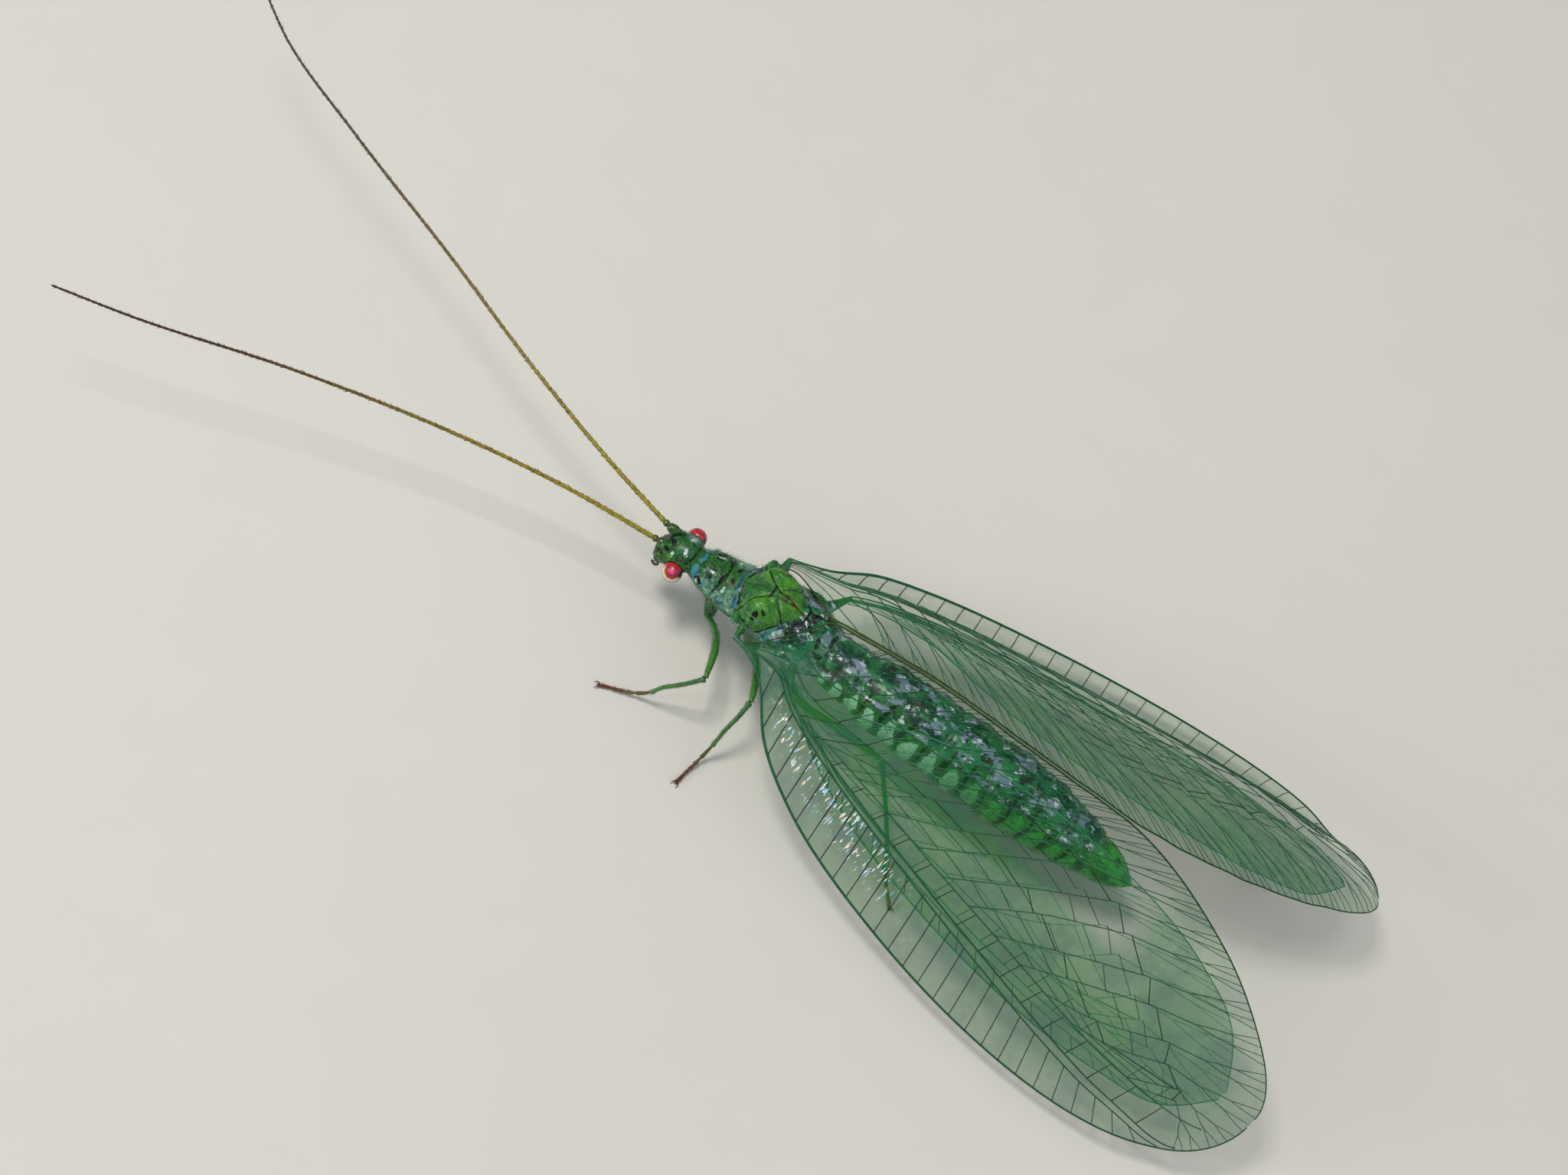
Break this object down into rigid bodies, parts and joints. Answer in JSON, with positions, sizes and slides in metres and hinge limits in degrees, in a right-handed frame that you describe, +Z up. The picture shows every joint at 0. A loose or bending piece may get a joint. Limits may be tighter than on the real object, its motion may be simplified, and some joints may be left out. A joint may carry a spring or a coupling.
{
  "type": "green lacewing",
  "caption": "Life-size green lacewing at rest on its feet, wings folded like a roof over the abdomen, long feelers stretched forward.",
  "frame": {"origin": "on the floor under the middle of the insect's whole box, feelers and wings included", "axes": "+Y runs from the head back to the wing tips, +X to the insect's left, +Z up from the floor"},
  "size_m": [0.0086, 0.0266, 0.0034],
  "materials": {
    "head_cuticle": "satin green cuticle with dark marks",
    "mouth_cuticle": "satin yellow-green cuticle",
    "eye": "glossy deep red, fine facets",
    "feeler": "fine-ringed, olive at the base to dark brown at the tip",
    "thorax_cuticle": "satin green cuticle with black sutures and spots",
    "abdomen_cuticle": "satin blue-green cuticle with dark bands on the back",
    "wing_membrane": "clear film with green veins and black cross-veins",
    "leg": "satin green with fine dark hairs",
    "foot": "reddish brown"
  },
  "bodies": {
    "root": {"head": "head_cuticle", "mouthparts": "mouth_cuticle", "eye_left": "eye", "eye_right": "eye", "antenna_base_left": "head_cuticle", "antenna_base_right": "head_cuticle", "antenna_left": "feeler", "antenna_right": "feeler", "prothorax": "thorax_cuticle", "mesothorax": "thorax_cuticle", "metathorax": "thorax_cuticle", "shoulder_left": "thorax_cuticle", "shoulder_right": "thorax_cuticle", "abdomen_1": "abdomen_cuticle", "abdomen_2": "abdomen_cuticle", "abdomen_3": "abdomen_cuticle", "abdomen_4": "abdomen_cuticle", "abdomen_5": "abdomen_cuticle", "abdomen_6": "abdomen_cuticle", "abdomen_7": "abdomen_cuticle", "abdomen_8": "abdomen_cuticle", "forewing_left": "wing_membrane", "forewing_right": "wing_membrane", "hindwing_left": "wing_membrane", "hindwing_right": "wing_membrane", "fore_coxa_left": "leg", "fore_femur_left": "leg", "fore_tibia_left": "leg", "fore_tarsus_left": "foot", "fore_coxa_right": "leg", "fore_femur_right": "leg", "fore_tibia_right": "leg", "fore_tarsus_right": "foot", "mid_coxa_left": "leg", "mid_femur_left": "leg", "mid_tibia_left": "leg", "mid_tarsus_left": "foot", "mid_coxa_right": "leg", "mid_femur_right": "leg", "mid_tibia_right": "leg", "mid_tarsus_right": "foot", "hind_coxa_left": "leg", "hind_femur_left": "leg", "hind_tibia_left": "leg", "hind_tarsus_left": "foot", "hind_coxa_right": "leg", "hind_femur_right": "leg", "hind_tibia_right": "leg", "hind_tarsus_right": "foot"}
  },
  "joints": []
}
